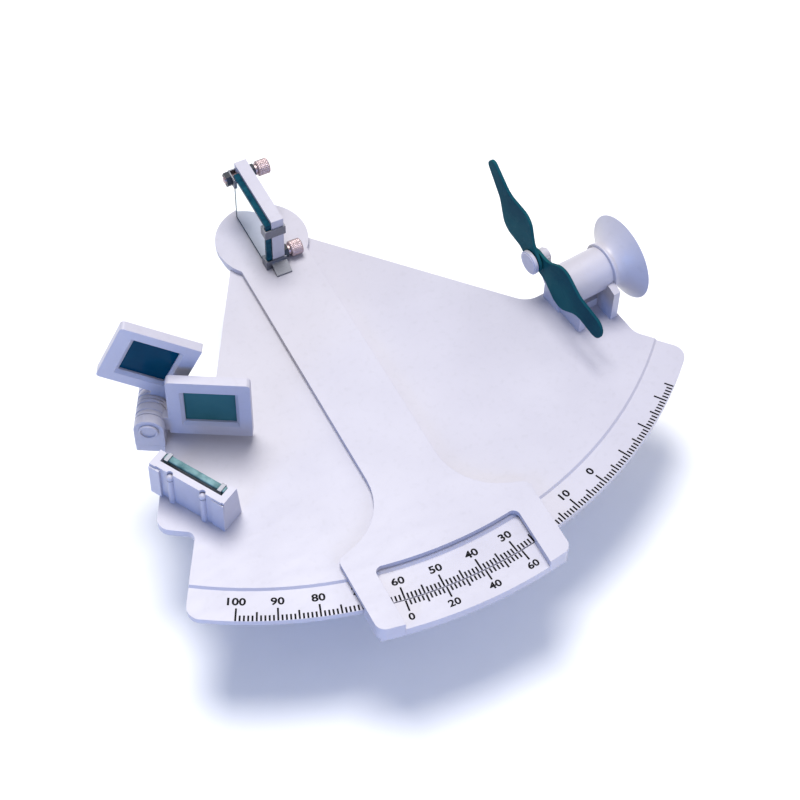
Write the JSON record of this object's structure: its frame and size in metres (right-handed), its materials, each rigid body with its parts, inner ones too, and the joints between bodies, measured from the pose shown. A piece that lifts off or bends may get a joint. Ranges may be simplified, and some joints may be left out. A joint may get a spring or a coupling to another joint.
{
  "type": "sextant",
  "caption": "Moulded marine sextant: sector frame, graduated limb, vernier index arm, two mirrors, framed and bladed shades, sight tube and bow handle.",
  "frame": {"origin": "centre of the apex foot's sole, on the index pivot's axis", "axes": "+Z is the normal of the frame plate, away from the table; -Y runs from the pivot to the middle of the limb; +X is the way the observer's eye lies along the sight tube"},
  "size_m": [0.2077, 0.1958, 0.0932],
  "materials": {
    "white_plastic": "moulded, slightly lavender white, soft gloss",
    "shade_filter": "deep green-teal transparent filter, polished",
    "mirror_glass": "silvered glass",
    "spring_steel": "bright strip",
    "screw_steel": "machined",
    "nickel": "knurled, warm silver",
    "black_oxide": "dark satin",
    "rubber": "matt",
    "brass": "turned"
  },
  "bodies": {
    "frame": {"frame_plate": "white_plastic", "handle": "white_plastic", "handle_screws": "screw_steel", "apex_leg": "white_plastic", "legs_outer": "white_plastic", "foot_apex": "rubber", "feet_outer": "rubber", "pivot_bush": "brass", "tube_stand": "white_plastic", "tube_stand_screws": "screw_steel", "sight_tube": "white_plastic", "eyecup": "white_plastic", "horizon_shade_pin": "white_plastic", "horizon_shade_washers": "black_oxide", "horizon_mirror_holder": "white_plastic", "horizon_mirror_pins": "white_plastic", "horizon_mirror_glass": "mirror_glass", "horizon_mirror_clips": "spring_steel", "shade_bracket": "white_plastic", "shade_bracket_screws": "screw_steel", "shade_hinge_pin": "white_plastic"},
    "index_arm": {"index_arm": "white_plastic", "vernier_strip": "white_plastic", "arc_keeper": "white_plastic", "keeper_screws": "screw_steel", "pivot_spring": "spring_steel", "pivot_washer": "screw_steel", "pivot_screw": "screw_steel", "index_mirror_support": "white_plastic", "support_screws": "screw_steel", "index_mirror_glass": "mirror_glass", "index_clip_upper": "spring_steel", "index_clip_lower": "spring_steel", "index_clip_far": "spring_steel", "index_lock_nuts": "black_oxide", "index_hex_nut": "black_oxide"},
    "screw_upper": {"index_screw_upper": "nickel"},
    "screw_lower": {"index_screw_lower": "nickel"},
    "near_index_shade": {"shade_frame_near": "white_plastic", "shade_glass_near": "shade_filter"},
    "far_index_shade": {"shade_frame_far": "white_plastic", "shade_glass_far": "shade_filter"},
    "upper_horizon_shade": {"horizon_shade_upper": "shade_filter"},
    "lower_horizon_shade": {"horizon_shade_lower": "shade_filter"}
  },
  "joints": [
    {"name": "arm_swing", "type": "hinge", "parent": "frame", "child": "index_arm", "pos_m": [0, 0, 0.042], "axis": [0, 0, 1], "range_deg": [-20, 32]},
    {"name": "near_shade_swing", "type": "hinge", "parent": "frame", "child": "near_index_shade", "pos_m": [-0.0815, -0.0596, 0.0517], "axis": [-0.5807, -0.8141, 0], "range_deg": [0, 130]},
    {"name": "far_shade_swing", "type": "hinge", "parent": "frame", "child": "far_index_shade", "pos_m": [-0.0815, -0.0596, 0.0517], "axis": [-0.5807, -0.8141, 0], "range_deg": [-67.5, 62.5]},
    {"name": "upper_blade_swing", "type": "hinge", "parent": "frame", "child": "upper_horizon_shade", "pos_m": [0.073, -0.0742, 0.0608], "axis": [1, 0, 0], "range_deg": [-25, 142]},
    {"name": "lower_blade_swing", "type": "hinge", "parent": "frame", "child": "lower_horizon_shade", "pos_m": [0.073, -0.0742, 0.0608], "axis": [1, 0, 0], "range_deg": [-167, 0]},
    {"name": "upper_screw_turn", "type": "hinge", "parent": "index_arm", "child": "screw_upper", "pos_m": [0.01072, 0.01522, 0.065], "axis": [0.9941, -0.1089, 0], "range_deg": [-450, 450]},
    {"name": "lower_screw_turn", "type": "hinge", "parent": "index_arm", "child": "screw_lower", "pos_m": [0.00766, -0.01271, 0.0483], "axis": [0.9941, -0.1089, 0], "range_deg": [-450, 450]}
  ]
}
